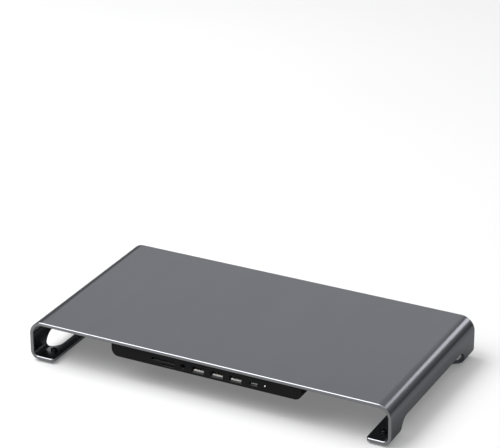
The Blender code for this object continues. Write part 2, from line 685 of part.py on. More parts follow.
def build_card_reader(parent, shell_finish, board_finish, slider_finish, chip_finish):
    """SD and microSD sockets with their eject sliders, and the small board between them."""
    width, thickness, depth = CARD_BOARD
    front = DOCK_FRONT + WALL + GAP
    board = block((width, depth, thickness), (SD_X, front + depth / 2, card_board_top() - thickness / 2))
    place("card_board", mesh_of("card_board", board, board_finish), parent)
    length, breadth = BOARD_CONNECTOR
    link_top, link_bottom = CONNECTOR_TOP, card_board_top() + THIN_GAP
    link = block((length, breadth, link_top - link_bottom),
                 (SD_X, front + depth - breadth, (link_top + link_bottom) / 2), 0.0003)
    place("board_connector", mesh_of("board_connector", link, chip_finish), parent)
    sockets = (("sd", SD_SHELL, SD_X, card_level(SD_SHELL), SD_SLIDER, SD_TRAVEL),
               ("microsd", MICROSD_SHELL, MICROSD_X, microsd_level(), MICROSD_SLIDER, MICROSD_TRAVEL))
    for name, size, x, level, (bar, arm), travel in sockets:
        location = (x, front, level)
        socket = mesh_of(f"{name}_socket", shell(size, 0.0004), shell_finish)
        place(f"{name}_socket", socket, parent, location)
        slider_x = size[0] / 2 - SHELL_WALL - GAP - bar[0]
        slider_y = size[2] - SHELL_WALL - GAP - travel - bar[2]
        holder = linked_object(f"{name}_eject_axis", None)
        holder.parent = parent
        holder.location = (x + slider_x, front + slider_y, level)
        slider = mesh_of(f"{name}_eject_slider", slider_solid(bar, arm), slider_finish)
        place(f"{name}_eject_slider", slider, holder)


def build_audio_jack(parent, finish):
    """The headphone jack: a body under the board with a round nose in the front wall."""
    width, height, depth = JACK_BODY
    nose_length = WALL - SHELL_SETBACK + GAP
    middle = CONNECTOR_TOP - JACK_LEVEL - height / 2
    body = block((width, depth, height), (0, nose_length + depth / 2, middle))
    nose = turned([(0, 0), (JACK_NOSE_RADIUS, 0), (JACK_NOSE_RADIUS, 2 * nose_length), (0, 2 * nose_length)])
    bore = shaft(JACK_BORE_RADIUS, -nose_length, depth)
    lay_down = Matrix.Rotation(-math.pi / 2, 3, "X")
    for bm in (nose, bore):
        bmesh.ops.rotate(bm, verts=bm.verts, cent=(0, 0, 0), matrix=lay_down)
    jack = combined(combined(body, nose, "UNION"), bore, "DIFFERENCE")
    location, turn = mouth_place(JACK_X, level=JACK_LEVEL)
    place("audio_jack", mesh_of("audio_jack", jack, finish), parent, location, turn)


def build_status_light(parent, clear, led_finish):
    """A light pipe through the front wall, and the LED behind it."""
    pipe = turned([(0, 0), (LIGHT_RADIUS, 0), (LIGHT_RADIUS, LIGHT_LENGTH), (0, LIGHT_LENGTH)], 16)
    bmesh.ops.rotate(pipe, verts=pipe.verts, cent=(0, 0, 0), matrix=Matrix.Rotation(-math.pi / 2, 3, "X"))
    front = DOCK_FRONT + GAP
    place("light_pipe", mesh_of("light_pipe", pipe, clear), parent, (LIGHT_X, front, LIGHT_LEVEL))
    width, depth = LED_SIZE
    bottom = LIGHT_LEVEL - LIGHT_RADIUS
    led = block((width, depth, CONNECTOR_TOP - bottom), (0, 0, (CONNECTOR_TOP - bottom) / 2))
    place("status_led", mesh_of("status_led", led, led_finish), parent,
          (LIGHT_X, front + LIGHT_LENGTH + GAP + depth / 2, bottom))


def main():
    """Build every sub-part under one empty."""
    for obj in list(bpy.data.objects):
        bpy.data.objects.remove(obj)
    stand = linked_object("monitor_riser", None)
    aluminium = material("anodised_aluminium", (0.17, 0.175, 0.19), 0.38, 1.0)
    casing = material("hub_plastic", (0.012, 0.012, 0.014), 0.55)
    rubber = material("foot_rubber", (0.02, 0.02, 0.02), 0.85)
    steel = material("zinc_steel", (0.35, 0.35, 0.37), 0.35, 1.0)
    dark_steel = material("black_steel", (0.04, 0.04, 0.045), 0.4, 1.0)
    brass = material("brass", (0.62, 0.45, 0.17), 0.3, 1.0)
    shell_steel = material("port_shell", (0.35, 0.35, 0.36), 0.3, 1.0)
    tongue_plastic = material("tongue_plastic", (0.8, 0.8, 0.8), 0.45)
    board_green = material("circuit_board", (0.01, 0.07, 0.04), 0.4)
    chip_epoxy = material("chip_epoxy", (0.02, 0.02, 0.02), 0.5)
    pad_grey = material("thermal_pad", (0.35, 0.4, 0.45), 0.8)
    clear = material("light_pipe", (0.9, 0.95, 1.0), 0.2)
    place("riser_frame", mesh_of("riser_frame", riser_solid(), aluminium), stand)
    build_feet(stand, rubber, brass, dark_steel)
    build_dock_mounting(stand, steel)
    place("dock_housing", mesh_of("dock_housing", dock_housing_solid(), casing), stand)
    place("dock_cover", mesh_of("dock_cover", dock_cover_solid(), steel), stand)
    build_board(stand, board_green, steel, chip_epoxy, pad_grey, chip_epoxy)
    build_usb(stand, shell_steel, tongue_plastic)
    build_hdmi(stand, shell_steel, tongue_plastic)
    build_card_reader(stand, shell_steel, board_green, tongue_plastic, chip_epoxy)
    build_audio_jack(stand, casing)
    build_status_light(stand, clear, tongue_plastic)


main()
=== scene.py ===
"""Looks of the monitor riser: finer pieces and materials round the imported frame, and the studio.

Metres, +Z up, the front faces -Y, as in the frame. Sizes that a bounding box can't give repeat
the design's own.
"""

import json
import math

import bmesh
import bpy
from mathutils import Matrix, Vector


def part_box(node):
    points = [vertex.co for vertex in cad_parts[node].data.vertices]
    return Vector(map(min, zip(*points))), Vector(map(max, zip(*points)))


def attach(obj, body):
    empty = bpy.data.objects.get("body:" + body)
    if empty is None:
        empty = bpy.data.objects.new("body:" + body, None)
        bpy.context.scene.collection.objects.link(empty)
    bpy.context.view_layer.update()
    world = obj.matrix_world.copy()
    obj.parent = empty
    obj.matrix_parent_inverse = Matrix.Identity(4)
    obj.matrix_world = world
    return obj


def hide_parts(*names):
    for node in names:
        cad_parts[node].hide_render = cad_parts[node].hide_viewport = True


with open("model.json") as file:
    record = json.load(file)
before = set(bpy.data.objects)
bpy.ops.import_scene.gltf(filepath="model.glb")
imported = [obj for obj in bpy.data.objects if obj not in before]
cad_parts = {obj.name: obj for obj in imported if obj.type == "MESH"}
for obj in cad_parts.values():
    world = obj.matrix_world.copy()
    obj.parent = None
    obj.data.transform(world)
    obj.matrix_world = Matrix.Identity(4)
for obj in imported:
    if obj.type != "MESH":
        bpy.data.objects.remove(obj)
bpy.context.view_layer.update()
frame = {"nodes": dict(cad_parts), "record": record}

STAND = "stand"
GAP = 0.0003
WELD = 0.000002
SMOOTH_ANGLE = 32

# Riser: one plate whose two ends are bent down and then inwards
FRAME_LOW, FRAME_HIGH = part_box("riser_frame")
WIDTH = FRAME_HIGH.x - FRAME_LOW.x
DEPTH = FRAME_HIGH.y - FRAME_LOW.y
FOOT_HEIGHT = FRAME_LOW.z
DECK_TOP = FRAME_HIGH.z
PROFILE_HEIGHT = DECK_TOP - FOOT_HEIGHT
THICKNESS = 0.0038
TOP_RADIUS = 0.015
BOTTOM_RADIUS = 0.009
FLANGE_WIDTH = 0.0265
CORNER_RADIUS = 0.004
EDGE_CHAMFER = 0.0005
TOP_BEND_STEPS = 24
BOTTOM_BEND_STEPS = 18
SLOT_TOP = 0.0172
SLOT_INSET = 0.0158
SLOT_END = 0.0244
SLOT_RADIUS = 0.0130
STUD_SEAT = (0.0033, 0.0016)

# Feet
FOOT_INSET_X = 0.016
FOOT_INSET_Y = 0.0190
FOOT_HOLE_RADIUS = 0.0025
FOOT_RADIUS = 0.006
POCKET_RADIUS = 0.0043
POCKET_DEPTH = 0.0008

# Screws: the head's radius and height, the thread's radius and pitch, the socket's corner radius
FOOT_SCREW = ((0.0035, 0.0020), 0.00115, 0.0004, 0.0011)
DOCK_SCREW = ((0.0027, 0.0017), 0.0013, 0.00045, 0.0011)
BOARD_SCREW = ((0.0022, 0.0010), 0.0010, 0.0004, 0.0008)

# Hub
DOCK_LOW, DOCK_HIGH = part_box("dock_housing")
DOCK_WIDTH = DOCK_HIGH.x - DOCK_LOW.x
DOCK_DEPTH = DOCK_HIGH.y - DOCK_LOW.y
DOCK_FRONT = DOCK_LOW.y
DOCK_REAR = DOCK_HIGH.y
DOCK_BOTTOM = DOCK_LOW.z
DOCK_TOP = DOCK_HIGH.z
DOCK_CORNER_RADIUS = 0.0075
DOCK_EDGE_RADIUS = 0.0006
MOUTH_FLARE = 0.00025
WALL = 0.0020
FLOOR = 0.0018
COUNTERBORE = (0.0031, 0.0026)
SCREW_HOLE_RADIUS = 0.0017
BOSS_RADIUS = 0.0045
BOARD_BOSS_RADIUS = 0.0026
BOARD_HOLE_RADIUS = 0.0014

# Connector faces
SHELL_WALL = 0.0003
USB_A_SHELL = (0.0132, 0.0057, 0.0140)
USB_C_SHELL = (0.0090, 0.0032, 0.0078)
HDMI_SHELL = (0.0150, 0.0056, 0.0118)
SD_SLOT = (0.0255, 0.0025)
MICROSD_SLOT = (0.0132, 0.0015)
JACK_NOSE_RADIUS = 0.0024
JACK_BORE_RADIUS = 0.0018
LIGHT_RADIUS = 0.0005


# ---------------------------------------------------------------- outlines


def arc(centre, radius, start, end, steps):
    """Points of a circular arc; the angles are in degrees."""
    angles = [math.radians(start + (end - start) * i / steps) for i in range(steps + 1)]
    return [(centre[0] + radius * math.cos(a), centre[1] + radius * math.sin(a)) for a in angles]


def circle(centre, radius, steps=48):
    """Points of a full circle."""
    return arc(centre, radius, 0, 360, steps)[:-1]


def rounded_rectangle(width, height, radius, centre=(0, 0), steps=8):
    """A rectangle with round corners; with a radius of half its height it is a stadium."""
    x, y = width / 2 - radius, height / 2 - radius
    points = []
    for i, (cx, cy) in enumerate(((x, y), (-x, y), (-x, -y), (x, -y))):
        quarter = arc((centre[0] + cx, centre[1] + cy), radius, 90 * i, 90 * i + 90, steps)
        points += [p for p in quarter if not points or math.dist(p, points[-1]) > 1e-6]
    if math.dist(points[0], points[-1]) < 1e-6:
        points.pop()
    return points


def middle_of(node):
    """The middle of a CAD node's box."""
    low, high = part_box(node)
    return (low + high) / 2


# ---------------------------------------------------------------- solids


def linked_object(name, data):
    """A new object in the scene."""
    obj = bpy.data.objects.new(name, data)
    bpy.context.collection.objects.link(obj)
    return obj


def evaluated_copy(obj):
    """A bmesh of an object as its modifiers or curve settings make it; the object is used up."""
    bpy.context.view_layer.update()
    evaluated = obj.evaluated_get(bpy.context.evaluated_depsgraph_get())
    bm = bmesh.new()
    bm.from_mesh(evaluated.to_mesh())
    evaluated.to_mesh_clear()
    bpy.data.objects.remove(obj)
    return bm


def scratch_object(bm):
    """A short-lived object that holds a bmesh."""
    mesh = bpy.data.meshes.new("scratch")
    bm.to_mesh(mesh)
    bm.free()
    return linked_object("scratch", mesh)


def combined(bm, tool, operation="DIFFERENCE"):
    """A Boolean of two solids, which are both used up."""
    target, cutter = scratch_object(bm), scratch_object(tool)
    modifier = target.modifiers.new("combine", "BOOLEAN")
    modifier.operation = operation
    modifier.solver = "EXACT"
    modifier.object = cutter
    result = evaluated_copy(target)
    bpy.data.objects.remove(cutter)
    return result


def joined(*solids):
    """Several solids in one bmesh."""
    everything = bmesh.new()
    for bm in solids:
        mesh = bpy.data.meshes.new("joined")
        bm.to_mesh(mesh)
        bm.free()
        everything.from_mesh(mesh)
        bpy.data.meshes.remove(mesh)
    return everything


def moved(bm, x=0.0, y=0.0, z=0.0):
    """The solid, moved."""
    bmesh.ops.translate(bm, verts=bm.verts, vec=(x, y, z))
    return bm


def rotated(bm, degrees, axis):
    """The solid, turned about an axis through the origin."""
    matrix = Matrix.Rotation(math.radians(degrees), 3, axis)
    bmesh.ops.rotate(bm, verts=bm.verts, cent=(0, 0, 0), matrix=matrix)
    return bm


def block(size, centre, bevel=0.0, steps=2):
    """A box given by its size and its middle, with round edges if wanted."""
    bm = bmesh.new()
    bmesh.ops.create_cube(bm, size=1.0)
    bmesh.ops.scale(bm, verts=bm.verts, vec=size)
    if bevel:
        bmesh.ops.bevel(bm, geom=bm.edges[:], offset=bevel, segments=steps, affect="EDGES", profile=0.5)
    return moved(bm, *centre)


def plate(outline, holes, thickness, chamfer=0.0):
    """A flat plate from z = 0 up, with holes, all its edges chamfered."""
    curve = bpy.data.curves.new("outline", "CURVE")
    curve.dimensions = "2D"
    curve.fill_mode = "BOTH"
    curve.extrude = thickness / 2 - chamfer
    curve.bevel_depth = chamfer
    curve.bevel_resolution = 0
    curve.offset = -chamfer
    for points in (outline, *holes):
        spline = curve.splines.new("POLY")
        spline.points.add(len(points) - 1)
        spline.use_cyclic_u = True
        for point, (x, y) in zip(spline.points, points):
            point.co = (x, y, 0, 1)
    bm = evaluated_copy(linked_object("outline", curve))
    bmesh.ops.remove_doubles(bm, verts=bm.verts, dist=1e-6)
    bmesh.ops.recalc_face_normals(bm, faces=bm.faces)
    return moved(bm, z=thickness / 2)


def drawn(rings):
    """A solid through rings of (x, y, z) points, closed at both ends."""
    bm = bmesh.new()
    loops = []
    for ring in rings:
        verts = [bm.verts.new(point) for point in ring]
        loops.append([bm.edges.new(pair) for pair in zip(verts, verts[1:] + verts[:1])])
    for loop, following in zip(loops, loops[1:]):
        bmesh.ops.bridge_loops(bm, edges=loop + following)
    bmesh.ops.contextual_create(bm, geom=loops[0])
    bmesh.ops.contextual_create(bm, geom=loops[-1])
    bmesh.ops.recalc_face_normals(bm, faces=bm.faces)
    return bm


def prism(outline, length):
    """An (x, z) outline drawn out along +Y from y = 0."""
    return drawn([[(x, y, z) for x, z in outline] for y in (0, length)])


def turned(profile, steps=48):
    """A solid of revolution about Z from (radius, z) points that start and end on the axis."""
    bm = bmesh.new()
    points = [bm.verts.new((r, 0, z)) for r, z in profile]
    edges = [bm.edges.new(pair) for pair in zip(points, points[1:])]
    bmesh.ops.spin(bm, geom=points + edges, cent=(0, 0, 0), axis=(0, 0, 1), angle=2 * math.pi, steps=steps)
    bmesh.ops.remove_doubles(bm, verts=bm.verts, dist=1e-6)
    bmesh.ops.recalc_face_normals(bm, faces=bm.faces)
    return bm


def shaft(radius, bottom, top, centre=(0, 0), steps=48):
    """An upright cylinder, used for bosses and drilled holes."""
    return moved(turned([(0, bottom), (radius, bottom), (radius, top), (0, top)], steps), *centre)


def strip(path, thickness, width):
    """A leaf of sheet metal along a (y, z) path, centred on x = 0."""
    points = [Vector(p) for p in path]
    upper = []
    for i, point in enumerate(points):
        along = (points[min(i + 1, len(points) - 1)] - points[max(i - 1, 0)]).normalized()
        upper.append(point + thickness * Vector((-along.y, along.x)))
    outline = points + upper[::-1]
    return drawn([[(x, p.x, p.y) for p in outline] for x in (-width / 2, width / 2)])


# ---------------------------------------------------------------- materials


def material(name, colour, roughness, metallic=0.0, **constants):
    """A Principled material; constants are further sockets of its shader."""
    made = bpy.data.materials.new(name)
    made.use_nodes = True
    shader = made.node_tree.nodes["Principled BSDF"]
    shader.inputs["Base Color"].default_value = (*colour, 1)
    shader.inputs["Roughness"].default_value = roughness
    shader.inputs["Metallic"].default_value = metallic
    for socket, value in constants.items():
        shader.inputs[socket.replace("_", " ")].default_value = value
    return made


def noise(made, scale, detail=2.0, stretch=(1, 1, 1)):
    """A noise pattern's output; scale is its number of features to the metre."""
    nodes, links = made.node_tree.nodes, made.node_tree.links
    coordinates = nodes.new("ShaderNodeTexCoord")
    mapping = nodes.new("ShaderNodeMapping")
    mapping.inputs["Scale"].default_value = stretch
    pattern = nodes.new("ShaderNodeTexNoise")
    pattern.inputs["Scale"].default_value = scale
    pattern.inputs["Detail"].default_value = detail
    links.new(coordinates.outputs["Object"], mapping.inputs["Vector"])
    links.new(mapping.outputs["Vector"], pattern.inputs["Vector"])
    return pattern.outputs["Fac"]


def cells(made, scale):
    """The distance pattern of close-packed grains."""
    nodes, links = made.node_tree.nodes, made.node_tree.links
    coordinates = nodes.new("ShaderNodeTexCoord")
    pattern = nodes.new("ShaderNodeTexVoronoi")
    pattern.inputs["Scale"].default_value = scale
    links.new(coordinates.outputs["Object"], pattern.inputs["Vector"])
    return pattern.outputs["Distance"]


def spread(made, pattern, low, high, start=0.3, end=0.7):
    """A pattern's values from start to end, spread from low to high."""
    mapper = made.node_tree.nodes.new("ShaderNodeMapRange")
    for socket, value in (("From Min", start), ("From Max", end), ("To Min", low), ("To Max", high)):
        mapper.inputs[socket].default_value = value
    made.node_tree.links.new(pattern, mapper.inputs["Value"])
    return mapper.outputs["Result"]


def blended(made, pattern, first, second, start=0.3, end=0.7):
    """A colour between two as a pattern goes from start to end."""
    mix = made.node_tree.nodes.new("ShaderNodeMix")
    mix.data_type = "RGBA"
    mix.inputs["A"].default_value = (*first, 1)
    mix.inputs["B"].default_value = (*second, 1)
    made.node_tree.links.new(spread(made, pattern, 0, 1, start, end), mix.inputs["Factor"])
    return mix.outputs["Result"]


def multiplied(made, first, second):
    """Two colours multiplied."""
    mix = made.node_tree.nodes.new("ShaderNodeMix")
    mix.data_type = "RGBA"
    mix.blend_type = "MULTIPLY"
    mix.inputs["Factor"].default_value = 1
    made.node_tree.links.new(first, mix.inputs["A"])
    made.node_tree.links.new(second, mix.inputs["B"])
    return mix.outputs["Result"]


def added(made, first, second):
    """The sum of two patterns."""
    adder = made.node_tree.nodes.new("ShaderNodeMath")
    adder.operation = "ADD"
    made.node_tree.links.new(first, adder.inputs[0])
    made.node_tree.links.new(second, adder.inputs[1])
    return adder.outputs["Value"]


def wire(made, output, socket):
    """Leads a pattern to a socket of the material's shader."""
    made.node_tree.links.new(output, made.node_tree.nodes["Principled BSDF"].inputs[socket])


def relief(made, height, depth, strength=1.0):
    """Bump from a height pattern whose range from 0 to 1 stands depth metres high."""
    bump = made.node_tree.nodes.new("ShaderNodeBump")
    bump.inputs["Strength"].default_value = strength
    bump.inputs["Distance"].default_value = depth
    made.node_tree.links.new(height, bump.inputs["Height"])
    wire(made, bump.outputs["Normal"], "Normal")


def speckled(name, colour, other, roughness, scale, depth, metallic=0.0, **constants):
    """A material of two close colours in fine grains, with a rough relief and uneven gloss."""
    made = material(name, colour, roughness, metallic, **constants)
    grain = noise(made, scale, 3)
    clouds = noise(made, scale / 40, 3)
    wire(made, blended(made, added(made, grain, clouds), colour, other, 0.8, 1.2), "Base Color")
    wire(made, spread(made, clouds, roughness * 0.88, roughness * 1.12), "Roughness")
    relief(made, grain, depth)
    return made


def anodised_aluminium():
    """Space-grey anodising over a fine bead-blasted surface."""
    made = material("anodised_aluminium", (0.30, 0.31, 0.335), 0.2, 1.0)
    grain = noise(made, 3600, 2)
    sparkle = cells(made, 2600)
    clouds = noise(made, 14, 4)
    rolled = noise(made, 60, 3, (1, 0.08, 1))
    tone = blended(made, added(made, clouds, rolled), (0.295, 0.303, 0.328), (0.305, 0.315, 0.342),
                   0.75, 1.25)
    glints = blended(made, sparkle, (0.94, 0.94, 0.94), (1, 1, 1), 0.1, 0.5)
    wire(made, multiplied(made, tone, glints), "Base Color")
    wire(made, spread(made, added(made, clouds, grain), 0.18, 0.23, 0.7, 1.3), "Roughness")
    relief(made, grain, 0.000008, 0.3)
    return made


def milled(name, colour, other, roughness):
    """Aluminium with the cutter's fine lines on it."""
    made = material(name, colour, roughness, 1.0)
    lines = noise(made, 900, 2, (0.15, 0.15, 6))
    wire(made, blended(made, lines, colour, other), "Base Color")
    wire(made, spread(made, lines, roughness * 0.85, roughness * 1.2), "Roughness")
    relief(made, lines, 0.000006, 0.4)
    return made


def hub_plastic():
    """Black ABS with a spark-eroded texture."""
    made = material("hub_plastic", (0.006, 0.006, 0.007), 0.5, Specular_IOR_Level=0.3)
    grain = noise(made, 2400, 3)
    pits = cells(made, 1500)
    clouds = noise(made, 25, 3)
    tone = blended(made, added(made, grain, clouds), (0.005, 0.005, 0.006), (0.009, 0.009, 0.010), 0.8, 1.2)
    wire(made, tone, "Base Color")
    wire(made, spread(made, clouds, 0.44, 0.56), "Roughness")
    relief(made, added(made, grain, pits), 0.00003, 0.5)
    return made


def circuit_board():
    """Green solder mask over copper runs and glass weave."""
    made = material("circuit_board", (0.01, 0.07, 0.04), 0.35)
    runs = cells(made, 420)
    weave = noise(made, 5000, 2)
    wire(made, blended(made, runs, (0.015, 0.10, 0.055), (0.006, 0.045, 0.028), 0.25, 0.35), "Base Color")
    wire(made, spread(made, weave, 0.28, 0.4), "Roughness")
    relief(made, added(made, spread(made, runs, 1, 0, 0.25, 0.35), spread(made, weave, 0, 0.15)), 0.00003)
    return made


def glowing_pipe():
    """Frosted clear plastic, lit white from behind."""
    return speckled("light_pipe", (0.85, 0.88, 0.9), (0.95, 0.97, 1.0), 0.35, 3000, 0.00001,
                    Emission_Color=(0.92, 0.96, 1.0, 1), Emission_Strength=1.6)


ALUMINIUM = anodised_aluminium()
BRIGHT_CUT = milled("bright_cut", (0.29, 0.30, 0.32), (0.35, 0.36, 0.38), 0.22)
# The rim's grey is much lighter than the anodising. It is painted light on the plate's edge faces, in place
# of the light they would reflect. The milling lines are real.
MILLED_RIM_PAINTED_LIGHT = milled("milled_rim_painted_light", (0.50, 0.51, 0.53), (0.58, 0.59, 0.61), 0.34)
PLASTIC = hub_plastic()
RUBBER = speckled("foot_rubber", (0.012, 0.012, 0.012), (0.022, 0.022, 0.022), 0.8, 1500, 0.00006)
BLACK_STEEL = speckled("black_steel", (0.045, 0.045, 0.05), (0.065, 0.065, 0.07), 0.38, 2500, 0.000006, 1.0)
ZINC = speckled("zinc_steel", (0.50, 0.51, 0.53), (0.60, 0.61, 0.63), 0.34, 1800, 0.000006, 1.0)
BRASS = speckled("brass", (0.60, 0.42, 0.15), (0.68, 0.50, 0.20), 0.3, 2000, 0.000005, 1.0)
# The port shells' near-black grey is painted shade for the inside of the port mouths, where nickel would be
# bright.
NICKEL_DARKENED_AS_SHADE = speckled("port_shell", (0.07, 0.07, 0.07), (0.10, 0.10, 0.098), 0.30, 1600, 0.000004, 1.0)
GOLD = speckled("gold_contacts", (0.75, 0.55, 0.22), (0.85, 0.64, 0.28), 0.25, 3000, 0.000002, 1.0)
TONGUE = speckled("tongue_plastic", (0.70, 0.70, 0.69), (0.78, 0.78, 0.77), 0.45, 2500, 0.00001)
BOARD = circuit_board()
CHIP = speckled("chip_epoxy", (0.014, 0.014, 0.015), (0.024, 0.024, 0.025), 0.5, 2600, 0.00002)
THERMAL = speckled("thermal_pad", (0.30, 0.36, 0.42), (0.36, 0.42, 0.48), 0.8, 1200, 0.00004)
LIGHT_PIPE = glowing_pipe()


# ---------------------------------------------------------------- pieces


def mesh_of(name, bm, *finishes):
    """A named mesh with its materials, smooth on round stretches, without slivers that Booleans leave."""
    bmesh.ops.remove_doubles(bm, verts=bm.verts, dist=WELD)
    bmesh.ops.dissolve_degenerate(bm, edges=bm.edges, dist=WELD)
    mesh = bpy.data.meshes.new(name)
    bm.to_mesh(mesh)
    bm.free()
    for finish in finishes:
        mesh.materials.append(finish)
    mesh.shade_smooth()
    mesh.set_sharp_from_angle(angle=math.radians(SMOOTH_ANGLE))
    return mesh


def piece(name, mesh, nodes=(), body=STAND, location=(0, 0, 0), turn=0.0, even=True):
    """A piece in place of the CAD nodes given, or besides them; turn is about Z in degrees."""
    obj = linked_object(name, mesh)
    obj.location = location
    obj.rotation_euler.z = math.radians(turn)
    if even:
        modifier = obj.modifiers.new("even_shading", "WEIGHTED_NORMAL")
        modifier.keep_sharp = True
    bpy.context.view_layer.update()
    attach(obj, body)
    if nodes:
        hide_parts(*nodes)
    return obj


def corners_of(family):
    """Name endings and middles of a family of four CAD nodes."""
    endings = [f"{end}_{side}" for end in ("front", "rear") for side in ("left", "right")]
    return [(ending, middle_of(f"{family}_{ending}")) for ending in endings]


# ---------------------------------------------------------------- riser


DECK_RUN = WIDTH / 2 - TOP_RADIUS
TOP_BEND_RUN = math.pi / 2 * (TOP_RADIUS - THICKNESS / 2)
WALL_RUN = PROFILE_HEIGHT - TOP_RADIUS - BOTTOM_RADIUS
BOTTOM_BEND_RUN = math.pi / 2 * (BOTTOM_RADIUS - THICKNESS / 2)
FLANGE_RUN = FLANGE_WIDTH - BOTTOM_RADIUS
WALL_START = DECK_RUN + TOP_BEND_RUN
FLANGE_START = WALL_START + WALL_RUN + BOTTOM_BEND_RUN
HALF_BLANK = FLANGE_START + FLANGE_RUN


def bent(along, above):
    """Profile point (x, z) and heading of a blank point: along it from the middle, above its mid-plane."""
    runs = ((DECK_RUN, 0), (TOP_BEND_RUN, TOP_RADIUS), (WALL_RUN, 0), (BOTTOM_BEND_RUN, BOTTOM_RADIUS),
            (FLANGE_RUN, 0))
    place_now = Vector((0, PROFILE_HEIGHT - THICKNESS / 2))
    heading = 0.0
    left = along
    for length, outer_radius in runs:
        step = left if length == FLANGE_RUN else min(left, length)
        forward = Vector((math.cos(heading), math.sin(heading)))
        outward = Vector((-forward.y, forward.x))
        if outer_radius:
            radius = outer_radius - THICKNESS / 2
            centre = place_now - radius * outward
            heading -= step / radius
            outward = Vector((-math.sin(heading), math.cos(heading)))
            place_now = centre + radius * outward
        else:
            place_now = place_now + step * forward
        left -= step
        if left <= 0:
            break
    return place_now + above * outward, heading


def leg_slot(side):
    """Outline of the slot round the foot of one leg, on the flat blank."""
    start = WALL_START + PROFILE_HEIGHT - TOP_RADIUS - SLOT_TOP
    end = FLANGE_START + SLOT_INSET - BOTTOM_RADIUS
    half_length = DEPTH / 2 - SLOT_END
    middle_y = half_length - SLOT_RADIUS
    lower, upper = (end - SLOT_RADIUS, middle_y), (start + SLOT_RADIUS, middle_y)
    far = arc(lower, SLOT_RADIUS, 0, 90, 28) + arc(upper, SLOT_RADIUS, 90, 180, 28)
    near = [(along, -y) for along, y in reversed(far)]
    return [(side * along, y) for along, y in far + near]


def riser_blank():
    """The flat plate before bending: the leg slots, the holes for the feet, the seats for the studs."""
    foot_along = FLANGE_START + FOOT_INSET_X - BOTTOM_RADIUS
    foot_y = DEPTH / 2 - FOOT_INSET_Y
    holes = []
    for side in (-1, 1):
        holes.append(leg_slot(side))
        holes += [circle((side * foot_along, y), FOOT_HOLE_RADIUS) for y in (-foot_y, foot_y)]
    outline = rounded_rectangle(2 * HALF_BLANK, DEPTH, CORNER_RADIUS, steps=12)
    bm = moved(plate(outline, holes, THICKNESS, EDGE_CHAMFER), z=-THICKNESS / 2)
    radius, depth = STUD_SEAT
    seats = [shaft(radius, -THICKNESS, depth - THICKNESS / 2, (p.x, p.y), 32)
             for _, p in corners_of("deck_stud")]
    return combined(bm, joined(*seats))


def on_outer_edge(point):
    """Whether a point of the flat blank is by its rim, and not by a slot or a hole."""
    return abs(point.x) > HALF_BLANK - CORNER_RADIUS / 2 or abs(point.y) > DEPTH / 2 - CORNER_RADIUS / 2


def build_riser():
    """The blank, scored across at every step of the bends and bent to shape, its shading bent with it."""
    bm = riser_blank()
    bends = ((DECK_RUN, TOP_BEND_RUN, TOP_BEND_STEPS),
             (WALL_START + WALL_RUN, BOTTOM_BEND_RUN, BOTTOM_BEND_STEPS))
    scores = [start + run * i / steps for start, run, steps in bends for i in range(steps + 1)]
    for along in [-s for s in scores] + scores:
        everything = bm.verts[:] + bm.edges[:] + bm.faces[:]
        bmesh.ops.bisect_plane(bm, geom=everything, dist=1e-6, plane_co=(along, 0, 0), plane_no=(1, 0, 0))
    bmesh.ops.triangulate(bm, faces=bm.faces)
    # Chamfers by the rim get the bright cut. The edge faces by the rim get the lighter rim grey, which is
    # painted light.
    for face in bm.faces:
        level, steep = abs(face.normal.z) > 0.9, abs(face.normal.z) < 0.2
        if not level and on_outer_edge(face.calc_center_median()):
            face.material_index = 2 if steep else 1
    mesh = mesh_of("riser", bm, ALUMINIUM, BRIGHT_CUT, MILLED_RIM_PAINTED_LIGHT)
    shading = [corner.vector.copy() for corner in mesh.corner_normals]
    turns = []
    for vert in mesh.vertices:
        side = math.copysign(1, vert.co.x)
        (x, z), heading = bent(abs(vert.co.x), vert.co.z)
        vert.co = (side * x, vert.co.y, z + FOOT_HEIGHT)
        turns.append(Matrix.Rotation(-side * heading, 3, "Y"))
    mesh.normals_split_custom_set([turns[loop.vertex_index] @ shading[loop.index] for loop in mesh.loops])
    piece("riser", mesh, ["riser_frame"], even=False)


# ---------------------------------------------------------------- fasteners and feet


def threaded(radius, length, pitch, head, steps=36):
    """A screw, head up, its head's underside at z = 0: a helical thread below, a domed head above."""
    head_radius, head_height = head
    core = radius - 0.35 * pitch
    rings = [[(core * 0.5 * math.cos(a), core * 0.5 * math.sin(a), -length) for a in turn_angles(steps)]]
    rows_per_turn = 6
    rows = max(2, round(length / pitch * rows_per_turn))
    for level in range(rows + 1):
        z = -length + length * level / rows
        ring = []
        for a in turn_angles(steps):
            phase = (z / pitch - a / (2 * math.pi)) % 1
            crest = 1 - abs(2 * phase - 1)
            fade = min(1, level / rows_per_turn, (rows - level) / 3)
            r = core + (radius - core) * crest * fade
            ring.append((r * math.cos(a), r * math.sin(a), z))
        rings.append(ring)
    rim, crown = 0.45, 0.55
    dome = [(head_radius, 0), (head_radius, head_height * rim)]
    for degrees in (18, 36, 52, 66):
        t = math.radians(degrees)
        dome.append((head_radius * math.cos(t), head_height * (rim + crown * math.sin(t))))
    rings += [[(r * math.cos(a), r * math.sin(a), z) for a in turn_angles(steps)] for r, z in dome]
    return drawn(rings)


def turn_angles(steps):
    """Angles of a full turn."""
    return [2 * math.pi * i / steps for i in range(steps)]


def hex_recess(bm, corner_radius, top, depth):
    """The head with a hexagonal socket that has a chamfered mouth."""
    flare = corner_radius * 0.12
    stages = ((corner_radius, top - depth), (corner_radius, top - flare),
              (corner_radius + 3 * flare, top + 2 * flare))
    rings = [[(r * math.cos(a), r * math.sin(a), z) for a in turn_angles(6)] for r, z in stages]
    return combined(bm, drawn(rings))


